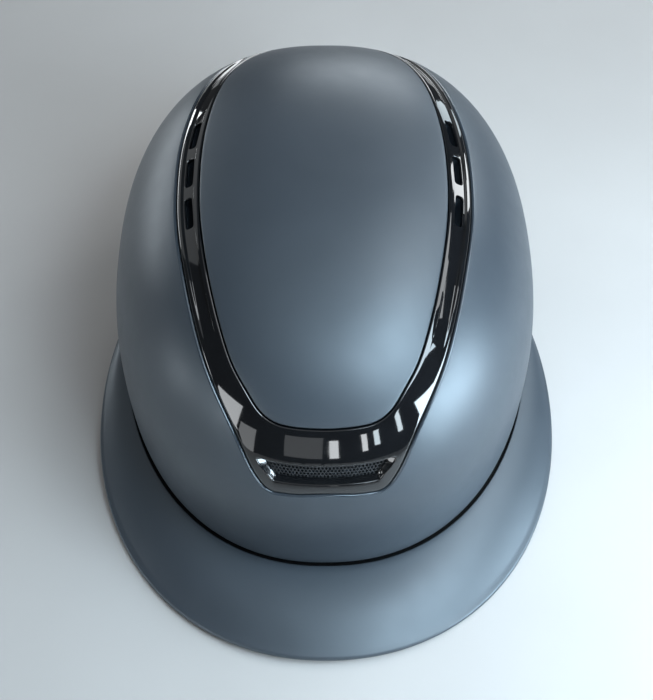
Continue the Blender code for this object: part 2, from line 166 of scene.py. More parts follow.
def curve_through(values, place, share):
    """A value on a smooth curve through the listed ones, at a share of the span that starts at a place."""
    before, start, end, after = (values[i] for i in range(place - 1, place + 3))
    return (
        2 * start
        + (end - before) * share
        + (2 * before - 5 * start + 4 * end - after) * share**2
        + (3 * start - before - 3 * end + after) * share**3
    ) / 2


def frame_outline(across_column, along_column):
    """The closed ring of plan points that two columns of the outline describe."""
    across = [row[across_column] for row in FRAME_OUTLINE]
    along = [row[along_column] for row in FRAME_OUTLINE]
    across = [-across[1], *across, -across[-2]]
    along = [along[1], *along, along[-2]]
    half = []
    for place, row in enumerate(FRAME_OUTLINE, start=1):
        for step in range(row[4] or 1):
            share = step / (row[4] or 1)
            x = curve_through(across, place, share) if row[4] else 0.0
            y = curve_through(along, place, share) if row[4] else row[along_column]
            half.append((x * SHELL_HALF_WIDTH, y * shell_reach(y)[0]))
    half[0] = (0.0, half[0][1])
    return half + [(-x, y) for x, y in reversed(half[1:-1])]


FRAME_OUTER = frame_outline(0, 1)
FRAME_INNER = frame_outline(2, 3)


def round_edge(ring, start, radius, side, steps=5):
    """Rings round an edge's quarter turn, from its upright wall up to the surface. Side is -1 or 1: the edge
    lies inwards or outwards of the wall."""
    rings = []
    for step in range(steps + 1):
        turn = math.pi / 2 * step / steps
        away = start + side * radius * (1 - math.cos(turn))
        rings.append(laid(slid(ring, away), radius * (1 - math.sin(turn))))
    return rings


def first_ring(mesh, points):
    """A ring of corners in a new mesh, each of which keeps its number round the ring."""
    number = mesh.verts.layers.int.new("number")
    made = bmesh.ops.create_circle(mesh, segments=len(points), radius=0.01)
    for i, corner in enumerate(made["verts"]):
        corner[number] = i
        corner.co = points[i]
    return list(mesh.edges)


def next_ring(mesh, edges, points, zone=0):
    """Draws the ring's edges out to new places, and gives the new faces their zone of paint."""
    number = mesh.verts.layers.int["number"]
    made = bmesh.ops.extrude_edge_only(mesh, edges=edges)["geom"]
    far = []
    for part in made:
        if isinstance(part, bmesh.types.BMVert):
            part.co = points[part[number]]
        elif isinstance(part, bmesh.types.BMFace):
            part.material_index = zone
        elif part.verts[0][number] != part.verts[1][number]:
            far.append(part)
    return far


def drawn_over(rings):
    """A mesh drawn from ring to ring. An entry holds a ring's points and the zone of the band before it."""
    mesh = bmesh.new()
    edges = first_ring(mesh, rings[0][0])
    for points, zone in rings[1:]:
        edges = next_ring(mesh, edges, points, zone)
    return mesh


def closed(mesh):
    """Merges what lies together and turns every face outwards."""
    bmesh.ops.remove_doubles(mesh, verts=mesh.verts, dist=2e-7)
    bmesh.ops.dissolve_degenerate(mesh, edges=mesh.edges, dist=1e-7)
    bmesh.ops.recalc_face_normals(mesh, faces=mesh.faces)
    return mesh


def put_on(name, mesh, sharp=40):
    """A finished piece in the helmet's place, with its corners over the sharp angle kept crisp."""
    bmesh.ops.translate(mesh, vec=(0, CROWN_AXIS_Y, 0), verts=mesh.verts)
    # The mesh operators leave corners and faces in an order that changes from run to run, so they are stored
    # in the order of their places.
    corners = sorted(mesh.verts, key=lambda corner: tuple(corner.co))
    ranks = {corner: rank for rank, corner in enumerate(corners)}
    faces = sorted(([ranks[corner] for corner in face.verts], face.material_index) for face in mesh.faces)
    data = bpy.data.meshes.new(name)
    data.from_pydata([tuple(corner.co) for corner in corners], [], [ring for ring, _ in faces])
    data.polygons.foreach_set("material_index", [zone for _, zone in faces])
    mesh.free()
    data.shade_smooth()
    data.set_sharp_from_angle(angle=math.radians(sharp))
    piece = bpy.data.objects.new(name, data)
    bpy.context.scene.collection.objects.link(piece)
    return piece


def carved(mesh, cutter):
    """The mesh with the cutter's solid taken out of it, both about the crown's axis."""
    blocks = []
    for name, block in (("carved", mesh), ("cutter", cutter)):
        data = bpy.data.meshes.new(name)
        block.to_mesh(data)
        block.free()
        piece = bpy.data.objects.new(name, data)
        bpy.context.scene.collection.objects.link(piece)
        blocks.append(piece)
    boolean = blocks[0].modifiers.new("cut", "BOOLEAN")
    boolean.operation = "DIFFERENCE"
    boolean.solver = "EXACT"
    boolean.object = blocks[1]
    graph = bpy.context.evaluated_depsgraph_get()
    result = bmesh.new()
    result.from_object(blocks[0], graph)
    for piece in blocks:
        data = piece.data
        bpy.data.objects.remove(piece)
        bpy.data.meshes.remove(data)
    return result


def level_of(rise, full_rise):
    """The level of a height over the widest outline, with a quarter turn at the full rise."""
    share = rise / full_rise
    return math.copysign(math.asin(abs(share) ** (PROFILE_SQUARENESS / 2)), share)


def widest_reach(turn):
    """How far out the widest outline is in a direction from the crown's axis."""
    return 1 / spread(math.cos(turn), math.sin(turn))


def rim_height(turn):
    """Height of the rim: a slow rise over the peak to the ears, then a fall to the nape."""
    y = widest_reach(turn) * math.sin(turn)
    over_peak = JOINT_HEIGHT + JOINT_RISE * min((y + SHELL_FRONT_LENGTH) / (EAR_Y + SHELL_FRONT_LENGTH), 1)
    return over_peak * (1 - eased(y, FALL_Y, NAPE_Y))


def outer_point(turn, level):
    """A point of the outer surface, at level 0 on the widest outline and a quarter turn at the crown."""
    out = widest_reach(turn) * max(math.cos(level), 0) ** (2 / PROFILE_SQUARENESS)
    rise = math.copysign(abs(math.sin(level)) ** (2 / PROFILE_SQUARENESS), level)
    z = WIDEST_HEIGHT + rise * (CROWN_RISE if level > 0 else TUCK_DEPTH)
    return Vector((out * math.cos(turn), out * math.sin(turn), z))


def hollow_point(turn, level):
    """A point of the hollow for the head, at level 0 where its dome starts."""
    outer = outer_point(turn, 0)
    reach = shell_reach(outer.y)[0]
    flat = max(math.cos(level), 0) ** (2 / PROFILE_SQUARENESS)
    rise = max(math.sin(level), 0) ** (2 / PROFILE_SQUARENESS)
    x = outer.x * (1 - WALL_SIDE / SHELL_HALF_WIDTH) * flat
    y = outer.y * (1 - WALL_END / reach) * flat
    return Vector((x, y, WIDEST_HEIGHT + rise * (CROWN_RISE - WALL_CROWN)))


def rim_point(turn, inset, lift):
    """A point of the shell's foot, moved in from its surface and up from its rim."""
    z = rim_height(turn) + lift
    point = outer_point(turn, level_of(z - WIDEST_HEIGHT, TUCK_DEPTH))
    return point + Vector((-point.x, -point.y, 0)).normalized() * inset


PAINT, FOAM_AND_GAP_SHADE, SHINY_EDGE = 0, 1, 2  # places of the shell's materials
shell_rings = [([under_paint(0, 0, SEAT_DEPTH)] * len(FRAME_OUTER), FOAM_AND_GAP_SHADE)]
for share in (0.25, 0.5, 0.75, 1.0):
    shell_rings.append((laid(shrunk(FRAME_INNER, share), SEAT_DEPTH), FOAM_AND_GAP_SHADE))
for share in (0.66, 0.33, 0.0):
    shell_rings.append((laid(between(FRAME_OUTER, FRAME_INNER, share), SEAT_DEPTH), FOAM_AND_GAP_SHADE))
shell_rings.append((laid(slid(FRAME_OUTER, FRAME_GAP), SEAT_DEPTH), FOAM_AND_GAP_SHADE))
seat_edge = round_edge(FRAME_OUTER, FRAME_GAP, SEAT_EDGE_ROUND, 1)
# The seat's wall, painted in the real shell, takes the black foam here as painted shade, so the gap round the
# frame reads dark.
shell_rings.append((seat_edge[0], FOAM_AND_GAP_SHADE))
shell_rings += [(ring, SHINY_EDGE) for ring in seat_edge[1:]]
turns = [math.atan2(point.y, point.x) for point in seat_edge[-1]]
tops = [level_of(point.z - WIDEST_HEIGHT, CROWN_RISE) for point in seat_edge[-1]]
feet = [level_of(rim_height(turn) + RIM_ROUND - WIDEST_HEIGHT, TUCK_DEPTH) for turn in turns]
for step in range(1, OUTER_STEPS + 1):
    share = step / OUTER_STEPS
    levels = [mix(top, foot, share) for top, foot in zip(tops, feet)]
    shell_rings.append(([outer_point(turn, level) for turn, level in zip(turns, levels)], PAINT))
for step in range(1, RIM_STEPS + 1):
    bend = math.pi / 2 * step / RIM_STEPS
    inset = RIM_ROUND * (1 - math.cos(bend))
    lift = RIM_ROUND * (1 - math.sin(bend))
    shell_rings.append(([rim_point(turn, inset, lift) for turn in turns], PAINT))
parting_rows = [
    # inset, lift, zone
    (PAINTED_LIP, 0, PAINT),
    (PAINTED_LIP + PARTING_SLANT, PARTING, FOAM_AND_GAP_SHADE),
    (PAINTED_LIP + PARTING, PARTING, FOAM_AND_GAP_SHADE),
    (PAINTED_LIP + 1.4 * PARTING, 0, FOAM_AND_GAP_SHADE),
]
for inset, lift, zone in parting_rows:
    shell_rings.append(([rim_point(turn, inset, lift) for turn in turns], zone))
for step in range(INNER_RIM_STEPS + 1):
    bend = math.pi / 2 * step / INNER_RIM_STEPS
    out = INNER_RIM_ROUND * (1 - math.sin(bend))
    lift = INNER_RIM_ROUND * (1 - math.cos(bend))
    ring = []
    for turn in turns:
        point = hollow_point(turn, 0)
        away = Vector((point.x, point.y, 0)).normalized() * out
        ring.append(Vector((point.x, point.y, rim_height(turn) + lift)) + away)
    shell_rings.append((ring, FOAM_AND_GAP_SHADE))
for share in (0.33, 0.66):
    ring = []
    for turn in turns:
        point = hollow_point(turn, 0)
        wall_foot = rim_height(turn) + INNER_RIM_ROUND
        ring.append(Vector((point.x, point.y, mix(wall_foot, WIDEST_HEIGHT, share))))
    shell_rings.append((ring, FOAM_AND_GAP_SHADE))
for step in range(HOLLOW_STEPS):
    level = math.pi / 2 * step / HOLLOW_STEPS
    shell_rings.append(([hollow_point(turn, level) for turn in turns], FOAM_AND_GAP_SHADE))
shell_rings.append(([hollow_point(0, math.pi / 2)] * len(turns), FOAM_AND_GAP_SHADE))
shell_mesh = closed(drawn_over(shell_rings))

SLOT_LENGTH = 0.0185
SLOT_WIDTH = 0.0045
SLOT_CORNER = 0.0016
SLOT_PITCH = 0.0255
SLOT_MIDDLE = 0.002  # how far behind the crown's axis the middle slot is
SLOTS_PER_ARM = 3
POCKET_DEPTH = 0.012  # of the air pockets, under the seat's floor
SLOT_POCKET_MARGIN = 0.0006  # how much wider the pocket behind a slot is, all round
SLOT_POCKET_TOP = 0.001  # depth at which its cutter starts
INTAKE_FOOT = 0.0915
INTAKE_HEIGHT = 0.0115
INTAKE_RISE = 0.0004  # how much higher the upper edge is at its two ends
INTAKE_FOOT_WIDTH = 0.049
INTAKE_TOP_WIDTH = 0.062
INTAKE_CORNER = 0.0014
INTAKE_POCKET_MARGIN = 0.001
INTAKE_POCKET_TUCK = 0.0005  # how much narrower its top is than the opening's, on each side
INTAKE_CUTTER_TOP = -0.006  # well outside the shell


def arm_x(y):
    """How far out the middle of the frame's arm is at a place along the crown."""
    middle = between(FRAME_OUTER, FRAME_INNER, 0.5)
    half = middle[: len(middle) // 2 + 1]
    for (x0, y0), (x1, y1) in zip(half, half[1:]):
        if y0 <= y <= y1:
            return mix(x0, x1, (y - y0) / (y1 - y0))
    return half[-1][0]


def slot_ring(side, y, margin, depth, steps=6):
    """A ring with rounded corners, round one slot at a depth under the surface."""
    lengthwise = Vector((side * (arm_x(y + SLOT_LENGTH / 2) - arm_x(y - SLOT_LENGTH / 2)), SLOT_LENGTH, 0))
    x = side * arm_x(y)
    up = shell_outward(x, y)
    centre = Vector((x, y, shell_height(x, y)))
    lengthwise = (lengthwise - up * lengthwise.dot(up)).normalized()
    sideways = up.cross(lengthwise)
    straight = SLOT_LENGTH / 2 - SLOT_CORNER
    flat = SLOT_WIDTH / 2 - SLOT_CORNER
    ring = []
    for quarter, (end, flank) in enumerate(((1, 1), (-1, 1), (-1, -1), (1, -1))):
        for step in range(steps + 1):
            turn = math.pi / 2 * (quarter + step / steps)
            along = end * straight + (SLOT_CORNER + margin) * math.cos(turn)
            across = flank * flat + (SLOT_CORNER + margin) * math.sin(turn)
            ring.append(centre + lengthwise * along + sideways * across - up * depth)
    return ring


def capped(mesh):
    """Closes the first and last ring of a drawn block."""
    bmesh.ops.holes_fill(mesh, edges=mesh.edges)
    bmesh.ops.recalc_face_normals(mesh, faces=mesh.faces)
    if mesh.calc_volume(signed=True) < 0:
        bmesh.ops.reverse_faces(mesh, faces=mesh.faces)
    return mesh


def slot_blocks(steps):
    """All the slots of both arms as blocks, drawn through steps of margin and depth."""
    blocks = bmesh.new()
    for side in (-1, 1):
        for place in range(SLOTS_PER_ARM):
            y = SLOT_MIDDLE + (place - (SLOTS_PER_ARM - 1) / 2) * SLOT_PITCH
            block = capped(drawn_over([(slot_ring(side, y, margin, depth), 0) for margin, depth in steps]))
            data = bpy.data.meshes.new("slot")
            block.to_mesh(data)
            block.free()
            blocks.from_mesh(data)
            bpy.data.meshes.remove(data)
    return blocks


def front_point(x, z, depth):
    """A point under the shell's front surface at a height, on the plan line of x."""
    level = level_of(z - WIDEST_HEIGHT, CROWN_RISE)
    out = math.cos(level) ** (2 / PROFILE_SQUARENESS)
    across = abs(x) / SHELL_HALF_WIDTH
    along = (out**FRONT_SQUARENESS - across**FRONT_SQUARENESS) ** (1 / FRONT_SQUARENESS)
    return under_paint(x, -along * SHELL_FRONT_LENGTH, depth)


def intake_ring(foot, top, low, high, depth, edge_steps=14, flank_steps=6, corner_steps=4):
    """A ring round the intake at a depth: half-widths at its foot and top, and heights of both edges."""
    corner = INTAKE_CORNER
    sides = []
    for step in range(edge_steps + 1):
        share = 2 * step / edge_steps - 1
        sides.append((share * (foot - corner), low))
    for step in range(1, corner_steps):
        turn = math.pi / 2 * step / corner_steps
        sides.append((foot - corner + corner * math.sin(turn), low + corner * (1 - math.cos(turn))))
    for step in range(1, flank_steps):
        share = step / flank_steps
        sides.append((mix(foot, top, share), mix(low + corner, high - corner, share)))
    for step in range(1, corner_steps):
        turn = math.pi / 2 * step / corner_steps
        sides.append((top - corner + corner * math.cos(turn), high - corner + corner * math.sin(turn)))
    for step in range(edge_steps + 1):
        share = 1 - 2 * step / edge_steps
        sides.append((share * (top - corner), high))
    for x, z in reversed(sides[edge_steps + 1 : -edge_steps - 1]):
        sides.append((-x, z))
    ring = []
    for x, z in sides:
        share = (z - low) / (high - low)
        ring.append(front_point(x, z + INTAKE_RISE * share * (x / top) ** 2, depth))
    return ring


pocket_floor = SEAT_DEPTH + POCKET_DEPTH
pocket_steps = [(SLOT_POCKET_MARGIN, SLOT_POCKET_TOP), (SLOT_POCKET_MARGIN, pocket_floor)]
shell_mesh = carved(shell_mesh, slot_blocks(pocket_steps))
intake_pocket = []
for depth in (INTAKE_CUTTER_TOP, pocket_floor):
    foot = INTAKE_FOOT_WIDTH / 2 + INTAKE_POCKET_MARGIN
    top = INTAKE_TOP_WIDTH / 2 - INTAKE_POCKET_TUCK
    low = INTAKE_FOOT - INTAKE_POCKET_MARGIN
    high = INTAKE_FOOT + INTAKE_HEIGHT + INTAKE_POCKET_MARGIN
    intake_pocket.append((intake_ring(foot, top, low, high, depth), 0))
shell_mesh = carved(shell_mesh, capped(drawn_over(intake_pocket)))

shell = put_on("shell", shell_mesh)
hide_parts("outer_shell")
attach(shell, "root")


def new_material(name):
    """A node material, with its tree, its shader and the coordinates in metres."""
    material = bpy.data.materials.new(name)
    material.use_nodes = True
    tree = material.node_tree
    shader = tree.nodes["Principled BSDF"]
    coordinates = tree.nodes.new("ShaderNodeTexCoord")
    return material, tree, shader, coordinates.outputs["Object"]


def noise(tree, where, scale, detail=2.0, rough=0.5):
    """Cloudy noise, with about so many clouds to the metre."""
    node = tree.nodes.new("ShaderNodeTexNoise")
    node.inputs["Scale"].default_value = scale
    node.inputs["Detail"].default_value = detail
    node.inputs["Roughness"].default_value = rough
    tree.links.new(where, node.inputs["Vector"])
    return node.outputs["Fac"]


def ramp(tree, value, stops):
    """The colour that the value picks between stops of position and colour."""
    node = tree.nodes.new("ShaderNodeValToRGB")
    tree.links.new(value, node.inputs["Fac"])
    elements = node.color_ramp.elements
    while len(elements) < len(stops):
        elements.new(0.5)
    for element, (position, colour) in zip(elements, stops):
        element.position = position
        element.color = colour
    return node.outputs["Color"]


def spread_range(tree, value, low, high):
    """The value's middle half spread from low to high."""
    node = tree.nodes.new("ShaderNodeMapRange")
    node.inputs["From Min"].default_value = 0.25
    node.inputs["From Max"].default_value = 0.75
    node.inputs["To Min"].default_value = low
    node.inputs["To Max"].default_value = high
    tree.links.new(value, node.inputs["Value"])
    return node.outputs["Result"]


def bump(tree, height, distance, strength=1.0, under=None):
    """A surface raised by the height, over another bumped surface if one is given."""
    node = tree.nodes.new("ShaderNodeBump")
    node.inputs["Distance"].default_value = distance
    node.inputs["Strength"].default_value = strength
    tree.links.new(height, node.inputs["Height"])
    if under is not None:
        tree.links.new(under, node.inputs["Normal"])
    return node.outputs["Normal"]


def satin_paint(name, least_dull=0.40, most_dull=0.46):
    """Dark blue-grey satin paint with a fine grain, a faint orange peel and clouds of a duller sheen."""
    material, tree, shader, where = new_material(name)
    clouds = noise(tree, where, 34, 3, 0.55)
    low, high = (0.0288, 0.0372, 0.0480, 1), (0.0336, 0.0426, 0.0546, 1)
    tree.links.new(ramp(tree, clouds, [(0.3, low), (0.7, high)]), shader.inputs["Base Color"])
    sheen_clouds = noise(tree, where, 90, 3, 0.6)
    tree.links.new(spread_range(tree, sheen_clouds, least_dull, most_dull), shader.inputs["Roughness"])
    grain = noise(tree, where, 3800, 2, 0.6)
    fine = bump(tree, grain, 0.00002, 0.5)
    peel = noise(tree, where, 420, 2, 0.5)
    tree.links.new(bump(tree, peel, 0.00002, 0.5, fine), shader.inputs["Normal"])
    shader.inputs["Specular IOR Level"].default_value = 1.0
    shader.inputs["Specular Tint"].default_value = (0.82, 0.93, 1.0, 1)
    return material


def bead_foam(name):
    """Black bead foam: cells of about 3 mm pressed flat against each other, with dark seams."""
    material, tree, shader, where = new_material(name)
    beads_per_metre = 310
    cells = tree.nodes.new("ShaderNodeTexVoronoi")
    cells.feature = "DISTANCE_TO_EDGE"
    cells.inputs["Scale"].default_value = beads_per_metre
    tree.links.new(where, cells.inputs["Vector"])
    tints = tree.nodes.new("ShaderNodeTexVoronoi")
    tints.inputs["Scale"].default_value = beads_per_metre
    tree.links.new(where, tints.inputs["Vector"])
    seam, bead = (0.25, 0.25, 0.25, 1), (1, 1, 1, 1)
    seams = ramp(tree, cells.outputs["Distance"], [(0.0, seam), (0.09, bead)])
    low, high = (0.013, 0.014, 0.015, 1), (0.022, 0.023, 0.025, 1)
    beads = ramp(tree, tints.outputs["Color"], [(0.2, low), (0.9, high)])
    shade = tree.nodes.new("ShaderNodeMix")
    shade.data_type = "RGBA"
    shade.blend_type = "MULTIPLY"
    shade.inputs["Factor"].default_value = 1.0
    tree.links.new(beads, shade.inputs["A"])
    tree.links.new(seams, shade.inputs["B"])
    tree.links.new(shade.outputs["Result"], shader.inputs["Base Color"])
    shader.inputs["Roughness"].default_value = 0.72
    tree.links.new(bump(tree, cells.outputs["Distance"], 0.0006, 0.6), shader.inputs["Normal"])
    return material


shell.data.materials.append(satin_paint("shell_paint"))
shell.data.materials.append(bead_foam("shell_foam"))
shell.data.materials.append(satin_paint("shell_edge", 0.12, 0.18))


# Crown panel. The satin panel that fills the middle of the crown, moulded and painted like the shell.
# It is clipped flush into the same seat, with an even dark gap to the frame all round.

PLATE_THICKNESS = 0.003
PANEL_GAP = 0.0007
PANEL_EDGE_ROUND = 0.0008
PANEL_STEPS = 40  # rings from the edge in to the crown

panel_outline = slid(FRAME_INNER, -PANEL_GAP)
panel_rings = [([under_paint(0, 0, PLATE_THICKNESS)] * len(panel_outline), 0)]
for share in (0.3, 0.6, 0.9, 1.0):
    panel_rings.append((laid(shrunk(panel_outline, share), PLATE_THICKNESS), 0))
panel_rings += [(ring, 0) for ring in round_edge(panel_outline, 0, PANEL_EDGE_ROUND, -1)]
panel_top = slid(panel_outline, -PANEL_EDGE_ROUND)
for step in range(1, PANEL_STEPS):
    share = 1 - step / PANEL_STEPS
    panel_rings.append((laid(shrunk(panel_top, share), 0), 0))
panel_rings.append(([under_paint(0, 0, 0)] * len(panel_outline), 0))
panel = put_on("panel", closed(drawn_over(panel_rings)))
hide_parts("crown_panel")
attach(panel, "root")
panel.data.materials.append(satin_paint("panel_paint"))


# Vent frame. A surround of high-gloss black plastic, moulded in one piece and clipped in round the panel.
# Its arms are hollowed along their length and hold three air slots each, and its front plate holds the
# flared opening of the intake.

FRAME_EDGE_ROUND = 0.0013
FRAME_INNER_ROUND = 0.0007
GROOVE_DEPTH = 0.0013
GROOVE_POINT = -0.65  # share of the shell's front length where the hollow has run out
GROOVE_FULL = -0.42  # where it is at its deepest
GROOVE_FADE = 0.62  # share of the shell's back length where it starts to run out
GROOVE_TAIL = 0.80
GROOVE_OUTER_TOP = 0.20  # of the groove's walls, as shares of the band from its outer to its inner edge
GROOVE_OUTER_FOOT = 0.27
GROOVE_INNER_FOOT = 0.74
GROOVE_INNER_TOP = 0.80
GROOVE_WALL_STEPS = 7
GROOVE_FLOOR_STEPS = 12
BAND_SHOULDERS = (0.16, 0.86)  # shares of the band where its edges are no longer rounded


def groove_depth(y):
    """How deep the arm is hollowed at a place along the crown."""
    along = y / shell_reach(y)[0]
    if along < 0:
        return GROOVE_DEPTH * eased(along, GROOVE_POINT, GROOVE_FULL)
    return GROOVE_DEPTH * (1 - eased(along, GROOVE_FADE, GROOVE_TAIL))


def band_ring(share):
    """A ring along the band, sunk where the hollow runs."""
    sunk = eased(share, GROOVE_OUTER_TOP, GROOVE_OUTER_FOOT)
    sunk *= 1 - eased(share, GROOVE_INNER_FOOT, GROOVE_INNER_TOP)
    ring = between(FRAME_OUTER, FRAME_INNER, share)
    return laid(ring, [sunk * groove_depth(y) for x, y in ring])


frame_rings = [(laid(FRAME_OUTER, PLATE_THICKNESS), 0)]
frame_rings += [(ring, 0) for ring in round_edge(FRAME_OUTER, 0, FRAME_EDGE_ROUND, -1, steps=7)]
band_stretches = [
    # start, end, steps
    (GROOVE_OUTER_TOP, GROOVE_OUTER_FOOT, GROOVE_WALL_STEPS),
    (GROOVE_OUTER_FOOT, GROOVE_INNER_FOOT, GROOVE_FLOOR_STEPS),
    (GROOVE_INNER_FOOT, GROOVE_INNER_TOP, GROOVE_WALL_STEPS),
]
band_shares = [BAND_SHOULDERS[0], GROOVE_OUTER_TOP]
for start, end, steps in band_stretches:
    band_shares += [mix(start, end, step / steps) for step in range(1, steps + 1)]
band_shares.append(BAND_SHOULDERS[1])
frame_rings += [(band_ring(share), 0) for share in band_shares]
inner_edge = round_edge(FRAME_INNER, 0, FRAME_INNER_ROUND, 1)
frame_rings += [(ring, 0) for ring in reversed(inner_edge)]
frame_rings.append((laid(FRAME_INNER, PLATE_THICKNESS), 0))
frame_rings.append((laid(between(FRAME_OUTER, FRAME_INNER, 0.5), PLATE_THICKNESS), 0))
frame_rings.append((laid(FRAME_OUTER, PLATE_THICKNESS), 0))
frame_mesh = closed(drawn_over(frame_rings))

slot_steps = [
    # margin, depth
    (0.0005, GROOVE_DEPTH - 0.0020),
    (0.0002, GROOVE_DEPTH),
    (0.0, GROOVE_DEPTH + 0.00015),
    (-0.0002, GROOVE_DEPTH + 0.0005),
    (-0.0002, PLATE_THICKNESS + 0.002),
]
frame_mesh = carved(frame_mesh, slot_blocks(slot_steps))

INTAKE_LIP = (0.0245, 0.0310, 0.0, 0.0093)  # half-widths at foot and top, heights of both edges
INTAKE_LIP_ROUND = 0.0008
INTAKE_LIP_STEPS = 6
INTAKE_FLARE = 0.0004  # how much wider than the lip the cutter is, over the plate
INTAKE_FUNNEL = [
    # foot half-width, top half-width, foot height, top height, depth
    (0.0243, 0.0290, 0.0012, 0.0091, 0.0026),
    (0.0241, 0.0284, 0.0014, 0.0090, 0.0032),
    (0.0241, 0.0284, 0.0014, 0.0090, 0.0040),
]
flare = INTAKE_LIP_ROUND + INTAKE_FLARE
lip_steps = [
    # margin, depth
    (flare, -0.0080),
    (flare, -0.0003),
]
for step in range(INTAKE_LIP_STEPS + 1):
    bend = math.pi / 2 * step / INTAKE_LIP_STEPS
    lip_steps.append((INTAKE_LIP_ROUND * (1 - math.sin(bend)), INTAKE_LIP_ROUND * (1 - math.cos(bend))))
intake_rows = []
for margin, depth in lip_steps:
    foot, top, low, high = INTAKE_LIP
    intake_rows.append((foot + margin, top + margin, low - margin, high + margin, depth))
intake_block = []
for foot, top, low, high, depth in intake_rows + INTAKE_FUNNEL:
    intake_block.append((intake_ring(foot, top, INTAKE_FOOT + low, INTAKE_FOOT + high, depth), 0))
frame_mesh = carved(frame_mesh, capped(drawn_over(intake_block)))

vent_frame = put_on("vent_frame_gloss", frame_mesh, sharp=30)
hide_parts("vent_frame")
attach(vent_frame, "root")


def gloss_black(name):
    """High-gloss black plastic: deep black, with the faint waviness of a polished moulding."""
    material, tree, shader, where = new_material(name)
    clouds = noise(tree, where, 60, 2, 0.5)
    low, high = (0.0035, 0.004, 0.005, 1), (0.005, 0.0058, 0.007, 1)
    tree.links.new(ramp(tree, clouds, [(0.3, low), (0.7, high)]), shader.inputs["Base Color"])
    haze = noise(tree, where, 160, 3, 0.6)
    tree.links.new(spread_range(tree, haze, 0.035, 0.07), shader.inputs["Roughness"])
    waves = noise(tree, where, 130, 1, 0.4)
    tree.links.new(bump(tree, waves, 0.00006, 0.5), shader.inputs["Normal"])
    shader.inputs["IOR"].default_value = 1.52
    shader.inputs["Coat Weight"].default_value = 1.0
    shader.inputs["Coat Roughness"].default_value = 0.02
    return material


vent_frame.data.materials.append(gloss_black("frame_gloss"))


# Front grille. A thin sheet of black metal pierced with six-sided holes, bent to the front of the helmet
# and clamped behind the intake.

HOLE_PITCH = 0.0017
WEB = 0.00042  # width of the metal between two holes
SHEET_DEPTH = 0.00345
SHEET_THICKNESS = 0.0005
SHEET_HALF_WIDTH = 0.0300
SHEET_MARGIN = 0.001  # how far the sheet's foot reaches past the opening's, on each side
SHEET_FOOT = 0.0004  # height of the lowest holes' centres over the opening's foot
SHEET_HEIGHT = 0.0118

sheet = bmesh.new()
row_pitch = HOLE_PITCH * math.sqrt(3) / 2
for row in range(int(SHEET_HEIGHT / row_pitch) + 1):
    z = INTAKE_FOOT + SHEET_FOOT + row * row_pitch
    half = mix(INTAKE_FOOT_WIDTH / 2 + SHEET_MARGIN, SHEET_HALF_WIDTH, row * row_pitch / SHEET_HEIGHT)
    count = int(half / HOLE_PITCH)
    for place in range(-count, count + 1):
        x = (place + 0.5 * (row % 2)) * HOLE_PITCH
        turned = Matrix.Translation((x, 0, z)) @ Matrix.Rotation(math.pi / 2, 4, "X")
        turned = turned @ Matrix.Rotation(math.pi / 6, 4, "Z")
        bmesh.ops.create_circle(
            sheet, cap_ends=True, segments=6, radius=HOLE_PITCH / math.sqrt(3), matrix=turned
        )
bmesh.ops.remove_doubles(sheet, verts=sheet.verts, dist=HOLE_PITCH * 0.05)
cells = list(sheet.faces)
bmesh.ops.inset_individual(sheet, faces=cells, thickness=WEB / 2, use_even_offset=True)
bmesh.ops.delete(sheet, geom=cells, context="FACES_ONLY")
bmesh.ops.recalc_face_normals(sheet, faces=sheet.faces)
bmesh.ops.solidify(sheet, geom=sheet.faces, thickness=SHEET_THICKNESS)
for corner in sheet.verts:
    x, depth, z = corner.co
    rise = INTAKE_RISE * (z - INTAKE_FOOT) / INTAKE_HEIGHT * (x / SHEET_HALF_WIDTH) ** 2
    corner.co = front_point(x, z + rise, SHEET_DEPTH + SHEET_THICKNESS / 2 + depth)
bmesh.ops.recalc_face_normals(sheet, faces=sheet.faces)
grille = put_on("grille", sheet)
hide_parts("front_grille")
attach(grille, "root")


def dark_mesh(name):
    """Black-lacquered metal, with the lacquer thinner and shinier in specks."""
    material, tree, shader, where = new_material(name)
    clouds = noise(tree, where, 900, 2, 0.5)
    low, high = (0.060, 0.063, 0.068, 1), (0.115, 0.120, 0.128, 1)
    tree.links.new(ramp(tree, clouds, [(0.35, low), (0.7, high)]), shader.inputs["Base Color"])
    tree.links.new(spread_range(tree, clouds, 0.26, 0.42), shader.inputs["Roughness"])
    shader.inputs["Metallic"].default_value = 0.7
    return material


grille.data.materials.append(dark_mesh("grille_lacquer"))


# Peak. The wide brim from ear to ear, one moulding painted like the shell above and left matt black below.
# Its flange tucks in under the shell's rim, and its outer edge is rolled.

PEAK_HALF_WIDTH = 0.1218
PEAK_REACH = 0.137  # from the peak's own centre to its front edge
PEAK_AHEAD = 0.052  # how far that centre lies before the crown's axis
PEAK_SQUARENESS = 2.06
PEAK_THICKNESS = 0.0035
PEAK_FLANGE = 0.010  # how far it reaches under the rim
PEAK_STEP = 0.0010  # how much lower the peak starts than its flange
PEAK_BULGE = 0.0020
PEAK_FRONT_LIFT = 0.004
PEAK_END_LIFT = 0.019
PEAK_FOOT_TURN = math.radians(48)  # where the edge rests on the surface, from straight ahead
PEAK_END_TURN = math.radians(118)
JOINT_END_TURN = math.radians(98)  # where the end of the peak meets the rim
SEAT_GAP = 0.0003
GROOVE_FRONT = 0.0008  # width of the groove round the shell's foot, in front and at the sides
GROOVE_SIDE = 0.0026
GROOVE_WIDENS = (0.1, 0.75)  # shares of the way round between which it widens
JOINT_GROOVE_DEPTH = 0.0036
LIP_ROUND = 0.0006
PEAK_SPANS = 168
LIP_STEPS = 4
TOP_STEPS = 12
ROLL_STEPS = 12
UNDERSIDE_SHARES = (1.0, 0.9, 0.7, 0.5, 0.3, 0.1)
GROOVE_FIRST = 1  # the section's first point in the groove
